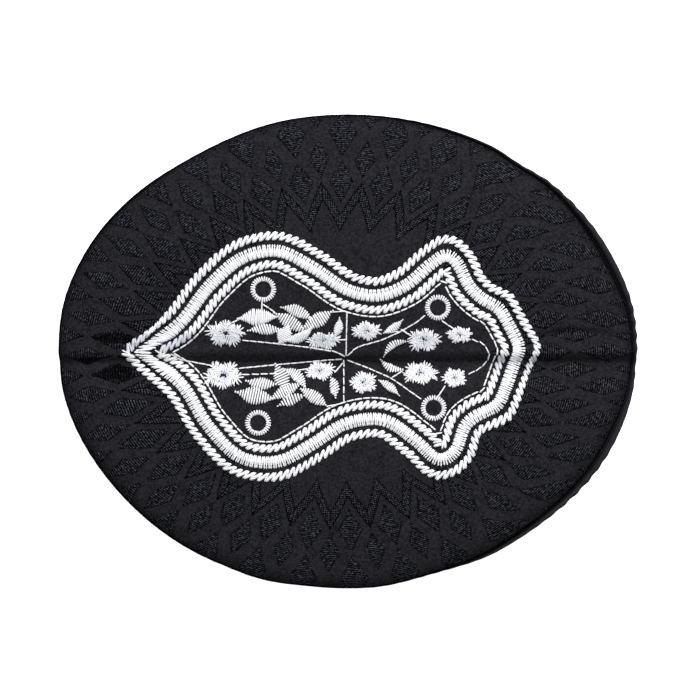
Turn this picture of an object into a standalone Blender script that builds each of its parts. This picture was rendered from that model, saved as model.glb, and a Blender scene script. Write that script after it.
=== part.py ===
"""A rigid oval kufi of black figured cloth with a white embroidered crown.

The hat stands on its rim, open below. An upright side band carries an oval crown panel,
which is creased along the long axis so that the hat folds flat. White thread lies on the
crown: a sandal outline of two rope lines and one satin band, filled with rings, flowers
and leaves. The origin is under the middle of the rim. +X runs along the crease.
"""

import math

import bmesh
import bpy
import numpy as np

MM = 0.001

# Crown and side band
HALF_LENGTH = 102.6 * MM
HALF_WIDTH = 84.0 * MM
SEAM_HEIGHT = 86.5 * MM
CROWN_THICKNESS = 1.8 * MM
BAND_THICKNESS = 2.0 * MM
BAND_FLARE = 1.0 * MM
CLEARANCE = 0.35 * MM

# The crown's edge rolls down to its seam
EDGE_DROP = 3.0 * MM
EDGE_REACH = 7.0 * MM

# The fold across the crown, and the slow dip and fullness on both sides of it
CREASE_DEPTH = 5.5 * MM
CREASE_REACH = 6.5 * MM
CREASE_RADIUS = 0.8 * MM
CREASE_LOSS_AT_EDGE = 0.6
DIP_DEPTH = 2.5 * MM
FULLNESS = 1.5 * MM

# The band's top edge is turned in under the crown
TURN_IN = 4.0 * MM
SHOULDER_DROP = 6.0 * MM
SHOULDER_BASE = 0.35 * MM

# Where the oval is pushed out (+) or flattened (-): columns centre_deg, half_width_deg, push_mm
OUTLINE_BUMPS = (
    (12, 12, 0.35),
    (53, 8, -0.9),
    (125, 25, -1.7),
    (145, 14, -0.4),
    (168, 12, 0.35),
    (213, 30, -1.0),
    (253, 10, 0.6),
    (288, 14, -1.4),
    (311, 26, -1.1),
)

# Where the band stands out beyond the crown's seam: columns centre_deg, half_width_deg, width_mm
SHOULDER_BUMPS = (
    (28, 38, 2.9),
    (324, 36, 3.3),
)

# Mesh of the crown: rays round the oval, closer together at the crease, and rings
QUARTER_RAYS_DEG = (0, 1.2, 3, 6, 10, 15, 22, 30, 38, 46, 55, 64, 73, 81.5)
EDGE_INSETS_MM = (0, 2, 4, 7)
INNER_RING_SHARES = (0.9, 0.77, 0.63, 0.48, 0.33, 0.17)
SHARP_ANGLE = math.radians(40)

# White thread on the crown
THREAD_THICKNESS = 0.7 * MM
OUTER_ROPE_OFFSET = 5.3 * MM
INNER_ROPE_OFFSET = -5.2 * MM
OUTER_ROPE_WIDTH = 3.0 * MM
INNER_ROPE_WIDTH = 2.8 * MM
SATIN_WIDTH = 4.4 * MM
LINE_SAMPLE_STEP = 0.7 * MM
LINE_SIDE_STEP = 5.0 * MM
RING_OUTER_RADIUS = 4.5 * MM
RING_INNER_RADIUS = 2.6 * MM

# Middle line of the satin band, clockwise from its left tip: columns x_mm, y_mm, is_corner
SANDAL_LINE = (
    (-73.4, -0.4, True),
    (-60.0, 9.4, False),
    (-48.0, 23.6, False),
    (-36.0, 33.4, False),
    (-25.0, 35.4, False),
    (-12.4, 29.6, False),
    (1.4, 20.7, False),
    (10.5, 19.3, False),
    (19.5, 23.2, False),
    (30.5, 31.7, False),
    (34.8, 34.2, False),
    (38.2, 31.6, False),
    (42.9, 22.9, False),
    (53.2, 15.4, True),
    (58.5, 6.6, False),
    (61.0, 1.2, True),
    (56.6, -10.0, False),
    (52.9, -19.0, True),
    (42.2, -25.4, False),
    (36.6, -36.3, False),
    (33.0, -38.3, False),
    (24.5, -31.4, False),
    (12.4, -23.8, False),
    (-0.7, -25.0, False),
    (-12.4, -33.2, False),
    (-24.5, -39.2, False),
    (-36.9, -37.8, False),
    (-48.9, -26.8, False),
    (-58.9, -11.2, False),
)

# Columns name, x_mm, y_mm
RINGS = (
    ("ring_upper_left", -29.8, 21.7),
    ("ring_lower_left", -31.6, -25.1),
    ("ring_upper_right", 31.6, 15.5),
    ("ring_lower_right", 29.9, -19.9),
)

# Columns name, x_mm, y_mm, length_mm, width_mm
FLOWERS = (
    ("flower_upper_left", -43.5, 6.2, 14.5, 9.6),
    ("flower_lower_left", -44.0, -7.8, 14.2, 9.6),
    ("flower_upper_stem", -8.9, 3.9, 10.0, 5.0),
    ("flower_lower_stem", -9.8, -6.6, 9.6, 5.4),
    ("flower_upper_middle", 6.1, 6.6, 10.6, 6.8),
    ("flower_lower_middle", 5.4, -10.8, 10.2, 8.2),
    ("flower_upper_right", 27.0, 4.5, 13.5, 8.5),
    ("flower_lower_right", 25.1, -7.4, 13.5, 8.5),
    ("flower_upper_end", 39.5, 6.0, 9.9, 6.4),
    ("flower_lower_end", 37.6, -8.9, 9.9, 7.1),
)

LEAF_SHARPNESS = 0.8

# Columns name, tip_x_mm, tip_y_mm, base_x_mm, base_y_mm, half_width_mm
LEAVES = (
    ("leaf_upper_1", -38.4, 11.5, -27.4, 12.5, 2.8),
    ("leaf_upper_2", -35.1, 7.3, -25.0, 8.1, 1.9),
    ("leaf_upper_3", -25.6, 12.9, -20.6, 7.9, 1.6),
    ("leaf_upper_4", -23.2, 15.4, -13.6, 12.8, 1.8),
    ("leaf_upper_5", -5.3, 14.5, -12.6, 9.9, 1.9),
    ("leaf_upper_6", -24.8, 2.9, -21.0, 6.2, 1.4),
    ("leaf_upper_7", -20.6, 4.6, -13.4, 8.0, 1.3),
    ("leaf_upper_8", -2.8, 11.5, -3.9, 6.9, 1.3),
    ("leaf_lower_1", -39.7, -14.1, -28.4, -15.8, 2.8),
    ("leaf_lower_2", -35.8, -10.1, -26.2, -9.9, 1.8),
    ("leaf_lower_3", -25.0, -4.9, -22.3, -9.4, 1.5),
    ("leaf_lower_4", -26.6, -15.2, -18.6, -12.2, 1.8),
    ("leaf_lower_5", -24.5, -19.2, -16.6, -16.8, 1.5),
    ("leaf_lower_6", -21.6, -7.0, -15.9, -12.2, 1.4),
    ("leaf_lower_7", -15.6, -14.6, -6.9, -19.2, 2.0),
    ("leaf_lower_8", -4.2, -16.2, -4.4, -9.4, 1.3),
    ("leaf_side_upper", 19.3, 11.2, 12.4, 7.5, 1.4),
    ("leaf_side_lower", 18.1, -15.4, 11.4, -12.0, 1.4),
    ("leaf_crescent_upper", 12.9, -0.9, 19.3, 2.7, 1.2),
    ("leaf_crescent_lower", 11.6, -3.6, 17.4, -5.8, 1.1),
)

# Flat materials: columns name, red, green, blue, roughness
FIGURED_CLOTH = ("figured_cloth", 0.020, 0.020, 0.025, 0.80)
BAND_CLOTH = ("band_cloth", 0.025, 0.025, 0.029, 0.70)
WHITE_THREAD = ("white_thread", 0.86, 0.86, 0.87, 0.45)


def clear_scene():
    for thing in list(bpy.data.objects):
        bpy.data.objects.remove(thing)


def make_material(row):
    name, red, green, blue, roughness = row
    material = bpy.data.materials.new(name)
    material.use_nodes = True
    shader = material.node_tree.nodes["Principled BSDF"]
    shader.inputs["Base Color"].default_value = (red, green, blue, 1.0)
    shader.inputs["Roughness"].default_value = roughness
    shader.inputs["Metallic"].default_value = 0.0
    return material


def bump_at(rows, angle):
    """Sum of the smooth bumps of one table at an angle in radians."""
    total = 0.0
    for centre_deg, half_width_deg, height_mm in rows:
        away = (math.degrees(angle) - centre_deg + 180.0) % 360.0 - 180.0
        if abs(away) < half_width_deg:
            total += height_mm * MM * math.cos(math.pi / 2.0 * away / half_width_deg) ** 2
    return total


def ray(angle):
    """Radius of the plain oval at this angle, and the unit vector towards it."""
    x = HALF_LENGTH * math.cos(angle)
    y = HALF_WIDTH * math.sin(angle)
    radius = math.hypot(x, y)
    return radius, (x / radius, y / radius)


def shoulder_width(angle):
    """How far the side band stands out beyond the crown's seam."""
    return SHOULDER_BASE + bump_at(SHOULDER_BUMPS, angle)


def seam_radius(angle):
    """Distance from the middle of the hat to the crown's seam."""
    return ray(angle)[0] + bump_at(OUTLINE_BUMPS, angle) - shoulder_width(angle)


def crown_height(x, y):
    """Height of the crown's upper face over the floor at one point of the plan."""
    angle = math.atan2(y / HALF_WIDTH, x / HALF_LENGTH)
    radius = seam_radius(angle)
    share = math.hypot(x, y) / radius
    inset = radius * (1.0 - share)
    roll = max(0.0, 1.0 - inset / EDGE_REACH) ** 2
    inside = 1.0 - share ** 4
    across = min(abs(y) / HALF_WIDTH, 1.0)
    from_crease = math.hypot(y, CREASE_RADIUS) - CREASE_RADIUS
    crease = CREASE_DEPTH * math.exp(-from_crease / CREASE_REACH) * (1.0 - CREASE_LOSS_AT_EDGE * share ** 6)
    dip = DIP_DEPTH * (1.0 - across) ** 2 * inside
    fullness = FULLNESS * math.sin(math.pi * across) * inside
    return SEAM_HEIGHT + EDGE_DROP * (1.0 - roll) - crease - dip + fullness


def ray_angles():
    quarter = [math.radians(degrees) for degrees in QUARTER_RAYS_DEG]
    mirrored = [math.pi - angle for angle in reversed(quarter[1:])]
    upper = quarter + [math.pi / 2.0] + mirrored
    return upper + [angle + math.pi for angle in upper]


def ring_radii(angle):
    """Radii of the crown's mesh along one ray, from the seam inwards."""
    radius = seam_radius(angle)
    edge = [radius - inset * MM for inset in EDGE_INSETS_MM]
    return edge + [edge[-1] * share for share in INNER_RING_SHARES]


def finish_mesh(shape, name, material=None):
    """Turn a bmesh into mesh data, shaded smooth apart from its sharp edges."""
    mesh_data = bpy.data.meshes.new(name)
    shape.to_mesh(mesh_data)
    shape.free()
    mesh_data.shade_smooth()
    mesh_data.set_sharp_from_angle(angle=SHARP_ANGLE)
    if material is not None:
        mesh_data.materials.append(material)
    return mesh_data


def place(name, mesh_data):
    thing = bpy.data.objects.new(name, mesh_data)
    bpy.context.collection.objects.link(thing)
    return thing


def crown_sheet(name, low, high, material):
    """A closed sheet that follows the crown, between two lifts over its upper face."""
    shape = bmesh.new()
    faces_of_level = []
    for lift in (low, high):
        rings = []
        for angle in ray_angles():
            along = ray(angle)[1]
            column = []
            for radius in ring_radii(angle):
                x, y = along[0] * radius, along[1] * radius
                column.append(shape.verts.new((x, y, crown_height(x, y) + lift)))
            rings.append(column)
        middle = shape.verts.new((0.0, 0.0, crown_height(0.0, 0.0) + lift))
        faces_of_level.append((rings, middle))
    for level, (rings, middle) in enumerate(faces_of_level):
        for here, after in zip(rings, rings[1:] + rings[:1]):
            triangles = [(here[-1], after[-1], middle)]
            for ring in range(len(here) - 1):
                triangles.append((here[ring], after[ring], after[ring + 1]))
                triangles.append((here[ring], after[ring + 1], here[ring + 1]))
            for triangle in triangles:
                shape.faces.new(triangle if level == 1 else triangle[::-1])
    lower_rings, upper_rings = faces_of_level[0][0], faces_of_level[1][0]
    for index in range(len(lower_rings)):
        after = (index + 1) % len(lower_rings)
        shape.faces.new((lower_rings[index][0], lower_rings[after][0],
                         upper_rings[after][0], upper_rings[index][0]))
    return finish_mesh(shape, name, material)


def band_profile(angle):
    """Section of the side band on one ray: (radius, height) from the rim's outer edge round."""
    seam = seam_radius(angle)
    along = ray(angle)[1]
    shoulder = shoulder_width(angle)

    def under_crown(inset):
        radius = seam - inset
        return crown_height(along[0] * radius, along[1] * radius) - CROWN_THICKNESS - CLEARANCE

    seam_height = under_crown(0.0)
    outer = seam + shoulder
    inner = outer - BAND_THICKNESS
    half_way = 0.5 * SEAM_HEIGHT
    waist = seam_height - 2.0 * SHOULDER_DROP
    return (
        (outer + BAND_FLARE, 0.0),
        (outer + 0.5 * BAND_FLARE, half_way),
        (outer, waist),
        (outer, seam_height - 0.7 * SHOULDER_DROP),
        (seam + 0.75 * shoulder, seam_height - 0.25 * SHOULDER_DROP),
        (seam, seam_height),
        (seam - 0.5 * TURN_IN, under_crown(0.5 * TURN_IN)),
        (seam - TURN_IN, under_crown(TURN_IN)),
        (seam - TURN_IN, under_crown(TURN_IN) - BAND_THICKNESS),
        (inner, waist),
        (inner + 0.5 * BAND_FLARE, half_way),
        (inner + BAND_FLARE, 0.0),
    )


def make_side_band(material):
    """The upright wall, one closed oval tube with its top edge turned in."""
    shape = bmesh.new()
    columns = []
    for angle in ray_angles():
        along = ray(angle)[1]
        profile = band_profile(angle)
        columns.append([shape.verts.new((along[0] * r, along[1] * r, z)) for r, z in profile])
    for here, after in zip(columns, columns[1:] + columns[:1]):
        for index in range(len(here)):
            above = (index + 1) % len(here)
            shape.faces.new((here[index], after[index], after[above], here[above]))
    place("side_band", finish_mesh(shape, "side_band", material))


def smooth_loop(rows, steps=8):
    """Points of a closed curve through a table's points, with its corners kept sharp."""
    points = [np.array(row[:2]) * MM for row in rows]
    corners = [row[2] for row in rows]
    count = len(rows)

    def slope(index, towards):
        if corners[index]:
            unit = points[towards] - points[index]
            return unit / np.linalg.norm(unit)
        before = points[index] - points[index - 1]
        after = points[(index + 1) % count] - points[index]
        a, b = np.linalg.norm(before), np.linalg.norm(after)
        return (before / a * b + after / b * a) / (a + b)

    curve = []
    for index in range(count):
        following = (index + 1) % count
        start, end = points[index], points[following]
        span = np.linalg.norm(end - start)
        leave = slope(index, following)
        arrive = -slope(following, index) if corners[following] else slope(following, index)
        for step in range(steps):
            u = step / steps
            curve.append((2 * u**3 - 3 * u**2 + 1) * start + (u**3 - 2 * u**2 + u) * span * leave
                         + (3 * u**2 - 2 * u**3) * end + (u**3 - u**2) * span * arrive)
    return np.array(curve)


def even_steps(loop, step):
    """The same closed line with points at even distances."""
    closed = np.vstack([loop, loop[:1]])
    run = np.concatenate([[0.0], np.cumsum(np.linalg.norm(np.diff(closed, axis=0), axis=1))])
    places = np.linspace(0.0, run[-1], round(run[-1] / step), endpoint=False)
    return np.column_stack([np.interp(places, run, closed[:, axis]) for axis in (0, 1)])


def offset_loop(loop, distance):
    """A line at one distance outside (+) or inside (-) of a clockwise loop, without its knots."""
    along = np.roll(loop, -1, axis=0) - np.roll(loop, 1, axis=0)
    along /= np.linalg.norm(along, axis=1)[:, None]
    moved = loop + distance * np.column_stack([-along[:, 1], along[:, 0]])
    nearest = np.linalg.norm(moved[:, None, :] - loop[None, :, :], axis=2).min(axis=1)
    return moved[nearest > 0.985 * abs(distance)]


def make_cutter(name, outline):
    """An upright prism through the crown, with the given outline in plan."""
    shape = bmesh.new()
    bottom, top = 0.5 * SEAM_HEIGHT, 1.5 * SEAM_HEIGHT
    area = sum(a[0] * b[1] - b[0] * a[1] for a, b in zip(outline, np.roll(outline, -1, axis=0)))
    ordered = outline if area > 0.0 else outline[::-1]
    low = [shape.verts.new((x, y, bottom)) for x, y in ordered]
    high = [shape.verts.new((x, y, top)) for x, y in ordered]
    shape.faces.new(low[::-1])
    shape.faces.new(high)
    for index in range(len(low)):
        after = (index + 1) % len(low)
        shape.faces.new((low[index], low[after], high[after], high[index]))
    cutter = place(name, finish_mesh(shape, name))
    cutter.hide_render = True
    cutter.display_type = "WIRE"
    return cutter


def add_boolean(thing, cutter, operation):
    modifier = thing.modifiers.new(cutter.name, "BOOLEAN")
    modifier.operation = operation
    modifier.solver = "EXACT"
    modifier.object = cutter


def make_thread(name, thread_sheet, outline, hole=None):
    """One embroidered shape: the sheet of thread over the crown, cut to its outline."""
    thing = place(name, thread_sheet)
    add_boolean(thing, make_cutter(name + "_outline", outline), "INTERSECT")
    if hole is not None:
        add_boolean(thing, make_cutter(name + "_hole", hole), "DIFFERENCE")


def line_band(name, thread_sheet, line, offset, width):
    """A band of thread that runs beside the sandal line."""
    outer = even_steps(offset_loop(line, offset + 0.5 * width), LINE_SIDE_STEP)
    inner = even_steps(offset_loop(line, offset - 0.5 * width), LINE_SIDE_STEP)
    make_thread(name, thread_sheet, outer, inner)


def oval(x_mm, y_mm, half_length, half_width, sides):
    turn = 2.0 * math.pi / sides
    return np.array([(x_mm * MM + half_length * math.cos(turn * k),
                      y_mm * MM + half_width * math.sin(turn * k)) for k in range(sides)])


def leaf_outline(tip, base, half_width, sections=5):
    """A pointed leaf between its tip and its base."""
    tip, base = np.array(tip), np.array(base)
    along = base - tip
    side = np.array([-along[1], along[0]]) / np.linalg.norm(along)
    left, right = [], []
    for section in range(1, sections):
        share = section / sections
        reach = side * half_width * math.sin(math.pi * share) ** LEAF_SHARPNESS
        left.append(tip + along * share + reach)
        right.append(tip + along * share - reach)
    return np.array([tip] + left + [base] + right[::-1])


def make_embroidery(material):
    thread_sheet = crown_sheet("thread_sheet", CLEARANCE, CLEARANCE + THREAD_THICKNESS, material)
    line = even_steps(smooth_loop(SANDAL_LINE), LINE_SAMPLE_STEP)
    line_band("outer_rope", thread_sheet, line, OUTER_ROPE_OFFSET, OUTER_ROPE_WIDTH)
    line_band("satin_band", thread_sheet, line, 0.0, SATIN_WIDTH)
    line_band("inner_rope", thread_sheet, line, INNER_ROPE_OFFSET, INNER_ROPE_WIDTH)
    for name, x_mm, y_mm in RINGS:
        make_thread(name, thread_sheet,
                    oval(x_mm, y_mm, RING_OUTER_RADIUS, RING_OUTER_RADIUS, 16),
                    oval(x_mm, y_mm, RING_INNER_RADIUS, RING_INNER_RADIUS, 12))
    for name, x_mm, y_mm, length_mm, width_mm in FLOWERS:
        make_thread(name, thread_sheet, oval(x_mm, y_mm, length_mm * MM / 2.0, width_mm * MM / 2.0, 14))
    for name, tip_x, tip_y, base_x, base_y, half_width in LEAVES:
        outline = leaf_outline((tip_x * MM, tip_y * MM), (base_x * MM, base_y * MM), half_width * MM)
        make_thread(name, thread_sheet, outline)


def main():
    clear_scene()
    place("crown_panel", crown_sheet("crown_panel", -CROWN_THICKNESS, 0.0, make_material(FIGURED_CLOTH)))
    make_side_band(make_material(BAND_CLOTH))
    make_embroidery(make_material(WHITE_THREAD))


main()
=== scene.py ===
import math

import bmesh
import bpy
import numpy as np
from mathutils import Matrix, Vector


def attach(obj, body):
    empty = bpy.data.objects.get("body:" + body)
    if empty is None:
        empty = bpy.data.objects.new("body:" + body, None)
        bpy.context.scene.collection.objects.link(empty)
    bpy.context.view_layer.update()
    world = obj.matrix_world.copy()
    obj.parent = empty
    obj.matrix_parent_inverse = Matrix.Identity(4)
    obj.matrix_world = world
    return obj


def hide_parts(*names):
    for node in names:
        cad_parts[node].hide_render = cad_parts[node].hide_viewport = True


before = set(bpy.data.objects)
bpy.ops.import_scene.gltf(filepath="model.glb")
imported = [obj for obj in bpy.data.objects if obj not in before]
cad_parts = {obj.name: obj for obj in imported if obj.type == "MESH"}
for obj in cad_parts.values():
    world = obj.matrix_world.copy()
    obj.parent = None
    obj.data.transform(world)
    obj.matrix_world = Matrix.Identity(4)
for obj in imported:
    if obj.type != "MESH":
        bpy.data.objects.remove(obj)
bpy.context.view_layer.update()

# Camera, floor and light.
# The hat is seen from straight above, long axis across the picture, in even daylight that
# comes a little more from the picture's top right.
FRAME_WIDTH = 0.2463
FOCAL_MM = 100.0
SENSOR_MM = 36.0
CROWN_LEVEL = 0.0885
VIEW_CENTRE = (0.0007, 0.0005)
WHITE = (1.0, 1.0, 1.0, 1.0)
FLOOR_FINISH = {"Base Color": (0.9, 0.9, 0.9, 1.0), "Roughness": 0.9, "Specular IOR Level": 0.0,
                "Emission Color": WHITE, "Emission Strength": 0.8}
ROOM_LIGHT = 0.36

camera_data = bpy.data.cameras.new("camera")
camera_data.lens = FOCAL_MM
camera_data.sensor_width = SENSOR_MM
camera_data.clip_start = 0.01
camera = bpy.data.objects.new("camera", camera_data)
camera.location = (*VIEW_CENTRE, CROWN_LEVEL + FRAME_WIDTH * FOCAL_MM / SENSOR_MM)
bpy.context.collection.objects.link(camera)
bpy.context.scene.camera = camera

floor_mesh = bpy.data.meshes.new("floor")
floor_mesh.from_pydata([(-3, -3, 0), (3, -3, 0), (3, 3, 0), (-3, 3, 0)], [], [(0, 1, 2, 3)])
floor = bpy.data.objects.new("floor", floor_mesh)
bpy.context.collection.objects.link(floor)
floor_paint = bpy.data.materials.new("floor_white")
floor_paint.use_nodes = True
floor_shader = floor_paint.node_tree.nodes["Principled BSDF"]
for socket_name, value in FLOOR_FINISH.items():
    floor_shader.inputs[socket_name].default_value = value
floor_mesh.materials.append(floor_paint)

# Columns name, x, y, z, size, power
LIGHTS = (
    ("window_key", 0.16, 0.44, 0.58, 0.45, 6.0),
    ("room_fill", -0.7, -0.3, 1.5, 1.6, 5.0),
)
for light_name, light_x, light_y, light_z, light_size, light_power in LIGHTS:
    light_data = bpy.data.lights.new(light_name, "AREA")
    light_data.size = light_size
    light_data.energy = light_power
    light = bpy.data.objects.new(light_name, light_data)
    light.location = (light_x, light_y, light_z)
    light.rotation_euler = (Vector((0, 0, 0.08)) - light.location).to_track_quat("-Z", "Y").to_euler()
    bpy.context.collection.objects.link(light)

world = bpy.data.worlds.new("studio")
world.use_nodes = True
room = world.node_tree.nodes["Background"]
room.inputs["Color"].default_value = WHITE
room.inputs["Strength"].default_value = ROOM_LIGHT
bpy.context.scene.world = world
bpy.context.scene.view_settings.view_transform = "Standard"

# Crown panel.
# An oval of stiffened black cloth, covered with a ring of tone-on-tone embroidered diamonds,
# folded once along its middle so that the hat packs flat, and rolled down to its seam.
HALF_LENGTH = 0.1026
HALF_WIDTH = 0.084
SEAM_HEIGHT = 0.0865
CROWN_THICKNESS = 0.0018
EDGE_DROP = 0.003
EDGE_REACH = 0.007
CREASE_DEPTH = 0.0034
CREASE_Y = -0.004
CREASE_STEEP_SIDE = 0.002
CREASE_GENTLE_SIDE = 0.006
CREASE_LOSS_AT_EDGE = 0.3
EASED_AT = -0.07
EASED_REACH = 0.014
EASED_SHARE = 0.55
# A soft wrinkle above the fold at its right end
WRINKLE_START, WRINKLE_FULL, WRINKLE_END = 0.062, 0.076, 0.1
WRINKLE_Y, WRINKLE_RISE = 0.0038, 0.003
WRINKLE_REACH = 0.0013
WRINKLE_DEPTH = 0.0024
LIP_HEIGHT = 0.0004
LIP_REACH = 0.0012
DIP_DEPTH = 0.0025
FULLNESS = 0.0015
SHOULDER_BASE = 0.00035

# Columns centre_deg, half_width_deg, push in metres
OUTLINE_BUMPS = (
    (12, 12, 0.00035),
    (53, 8, -0.0009),
    (125, 25, -0.0017),
    (145, 14, -0.0004),
    (168, 12, 0.00035),
    (213, 30, -0.001),
    (253, 10, 0.0006),
    (288, 14, -0.0014),
    (311, 26, -0.0011),
)
SHOULDER_BUMPS = (
    (24, 38, 0.0034),
    (60, 26, 0.00095),
    (308, 26, 0.0019),
    (337, 33, 0.0031),
)

# The ring of figures: how often it repeats, its centre and size, and the shapes in one repeat.
# A place in a repeat is a turn from -0.5 to 0.5 and a share of the way out from the centre.
REPEATS = 33
FIRST_APEX = 0.61
RING_CENTRE = (-0.0043, -0.0016)
RING_HALF = (0.1025, 0.0841)
# Columns turn, share, half_turn, half_share
DIAMONDS = (
    (0.0, 0.823, 0.22, 0.078),
    (0.5, 0.727, 0.29, 0.086),
    (0.5, 0.935, 0.27, 0.1),
    (0.0, 1.035, 0.22, 0.08),
)
# Columns share_at_0, share_at_half: straight edges across half a repeat
ZIGZAG_OUTER = (0.722, 0.586)
ZIGZAG_INNER = (0.655, 0.522)
FIELD_RISE = 0.00028
# The ring isn't even: at its left end it is turned and pushed out, at its right end gathered
END_START, END_FULL = 0.45, 0.85
LEFT_TURN = 0.11
LEFT_PUSH = 0.032
PUSH_START, PUSH_FULL = 0.5, 0.8
RIGHT_GATHER = 2.0
GATHER_START = 0.8

AROUND = REPEATS * 16
CLOSER_AT_ENDS = 0.24
# Columns inset from the seam, drop below the upper face: the crown's rounded cut edge
CROWN_RIM = ((0.0005, 0.0018), (0.00012, 0.0015), (0.0, 0.0009), (0.00012, 0.0003), (0.0005, 0.0))
CROWN_EDGE_INSETS = (0.0010, 0.0017, 0.0026, 0.0037, 0.0050)
INNER_START = 0.0060
TOP_RINGS = 130
UNDER_RINGS = 12


def bump_at(rows, angle):
    total = np.zeros_like(angle)
    for centre, half_width, push in rows:
        away = (np.degrees(angle) - centre + 180.0) % 360.0 - 180.0
        total += np.where(np.abs(away) < half_width,
                          push * np.cos(np.pi / 2.0 * away / half_width) ** 2, 0.0)
    return total


def oval_radius(angle):
    return np.hypot(HALF_LENGTH * np.cos(angle), HALF_WIDTH * np.sin(angle))


def shoulder_width(angle):
    return SHOULDER_BASE + bump_at(SHOULDER_BUMPS, angle)


def seam_radius(angle):
    return oval_radius(angle) + bump_at(OUTLINE_BUMPS, angle) - shoulder_width(angle)


def rise(value, low, high):
    """0 at low, 1 at high and smooth between them."""
    step = np.clip((value - low) / (high - low), 0.0, 1.0)
    return step * step * (3.0 - 2.0 * step)


def crown_height(x, y):
    """Height of the crown's upper face over the floor."""
    angle = np.arctan2(y / HALF_WIDTH, x / HALF_LENGTH)
    radius = seam_radius(angle)
    share = np.hypot(x, y) / radius
    roll = np.maximum(0.0, 1.0 - radius * (1.0 - share) / EDGE_REACH) ** 2
    inside = 1.0 - share ** 4
    across = np.minimum(np.abs(y) / HALF_WIDTH, 1.0)
    reach = np.where(y > CREASE_Y, CREASE_STEEP_SIDE, CREASE_GENTLE_SIDE)
    crease = CREASE_DEPTH * np.exp(-((y - CREASE_Y) / reach) ** 2)
    crease = crease - LIP_HEIGHT * np.exp(-(y / LIP_REACH) ** 2)
    crease = crease * (1.0 - CREASE_LOSS_AT_EDGE * share ** 6)
    crease = crease * (1.0 - EASED_SHARE * np.exp(-((x - EASED_AT) / EASED_REACH) ** 2))
    dip = DIP_DEPTH * (1.0 - across) ** 2 * inside
    fullness = FULLNESS * np.sin(np.pi * across) * inside
    run = np.clip((x - WRINKLE_START) / (WRINKLE_END - WRINKLE_START), 0.0, 1.0)
    from_wrinkle = (y - WRINKLE_Y - WRINKLE_RISE * np.sin(np.pi * run)) / WRINKLE_REACH
    wrinkle = WRINKLE_DEPTH * np.exp(-from_wrinkle ** 2) * rise(x, WRINKLE_START, WRINKLE_FULL) * inside
    return SEAM_HEIGHT + EDGE_DROP * (1.0 - roll) - crease - dip + fullness - wrinkle


def figure_relief(x, y):
    """How far the embroidered fields stand up from the ground between them, from 0 to 1."""
    px, py = (x - RING_CENTRE[0]) / RING_HALF[0], (y - RING_CENTRE[1]) / RING_HALF[1]
    share = np.hypot(px, py)
    at_left, at_right = rise(-px, END_START, END_FULL), rise(px, END_START, END_FULL)
    py = py * (1.0 + RIGHT_GATHER * at_right * np.maximum(share - GATHER_START, 0.0))
    turns = np.arctan2(py, px) / (2.0 * np.pi) * REPEATS + LEFT_TURN * at_left
    share = share - LEFT_PUSH * at_left * rise(share, PUSH_START, PUSH_FULL)
    turn = np.abs((turns - FIRST_APEX + 0.5) % 1.0 - 0.5)
    inside = []
    for centre, middle, half_turn, half_share in DIAMONDS:
        inside.append(1.0 - np.abs(turn - centre) / half_turn - np.abs(share - middle) / half_share)
    outer = ZIGZAG_OUTER[0] + 2.0 * turn * (ZIGZAG_OUTER[1] - ZIGZAG_OUTER[0])
    inner = ZIGZAG_INNER[0] + 2.0 * turn * (ZIGZAG_INNER[1] - ZIGZAG_INNER[0])
    inside.append(np.minimum(outer - share, share - inner) / 0.05)
    return rise(np.max(inside, axis=0), 0.0, 0.25)


def lathe_mesh(name, columns, poles=()):
    """A closed mesh from columns round the hat: each is one section, open if it ends in poles."""
    count, along = columns.shape[:2]
    here = np.arange(count)[:, None] * along
    after = (np.arange(count)[:, None] + 1) % count * along
    steps = np.arange(along - 1 if poles else along)[None, :]
    following = (steps + 1) % along
    faces = np.stack([here + steps, after + steps, after + following, here + following], axis=-1)
    faces = faces.reshape(-1, 4).tolist()
    corners = columns.reshape(-1, 3).tolist()
    for pole, end in zip(poles, (0, along - 1)):
        faces += [(int(a) + end, int(b) + end, len(corners)) for a, b in zip(here[:, 0], after[:, 0])]
        corners.append(pole)
    data = bpy.data.meshes.new(name)
    data.from_pydata(corners, [], faces)
    shape = bmesh.new()
    shape.from_mesh(data)
    bmesh.ops.recalc_face_normals(shape, faces=shape.faces)
    shape.to_mesh(data)
    shape.free()
    return data


def add_piece(name, data, slot_name, *nodes):
    """Link a finished mesh, which rides on the hat and stands for its CAD nodes."""
    data.shade_smooth()
    piece = bpy.data.objects.new(name, data)
    bpy.context.collection.objects.link(piece)
    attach(piece, "root")
    if nodes:
        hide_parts(*nodes)
    return piece


even_angles = np.arange(AROUND) * 2.0 * np.pi / AROUND
angles = even_angles - CLOSER_AT_ENDS * np.sin(2.0 * even_angles)
direction = np.stack([HALF_LENGTH * np.cos(angles), HALF_WIDTH * np.sin(angles)], axis=-1)
direction /= np.linalg.norm(direction, axis=1)[:, None]
crown_seam = seam_radius(angles)


def crown_points(radius, drop, relief=0.0):
    x, y = radius * direction[:, 0], radius * direction[:, 1]
    return np.stack([x, y, crown_height(x, y) - drop + relief * figure_relief(x, y)], axis=-1)


crown_sections = [crown_points((crown_seam - INNER_START) * share, CROWN_THICKNESS)
                  for share in np.linspace(0.004, 1.0, UNDER_RINGS)]
crown_sections += [crown_points(crown_seam - inset, drop) for inset, drop in CROWN_RIM]
crown_sections += [crown_points(crown_seam - inset, 0.0, FIELD_RISE) for inset in CROWN_EDGE_INSETS]
crown_sections += [crown_points((crown_seam - INNER_START) * share, 0.0, FIELD_RISE)
                   for share in np.linspace(1.0, 0.004, TOP_RINGS)]
middle_height = float(crown_height(np.array(0.0), np.array(0.0)))
crown_mesh = lathe_mesh("crown_panel_cloth", np.stack(crown_sections, axis=1),
                        [(0.0, 0.0, middle_height - CROWN_THICKNESS), (0.0, 0.0, middle_height)])


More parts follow.
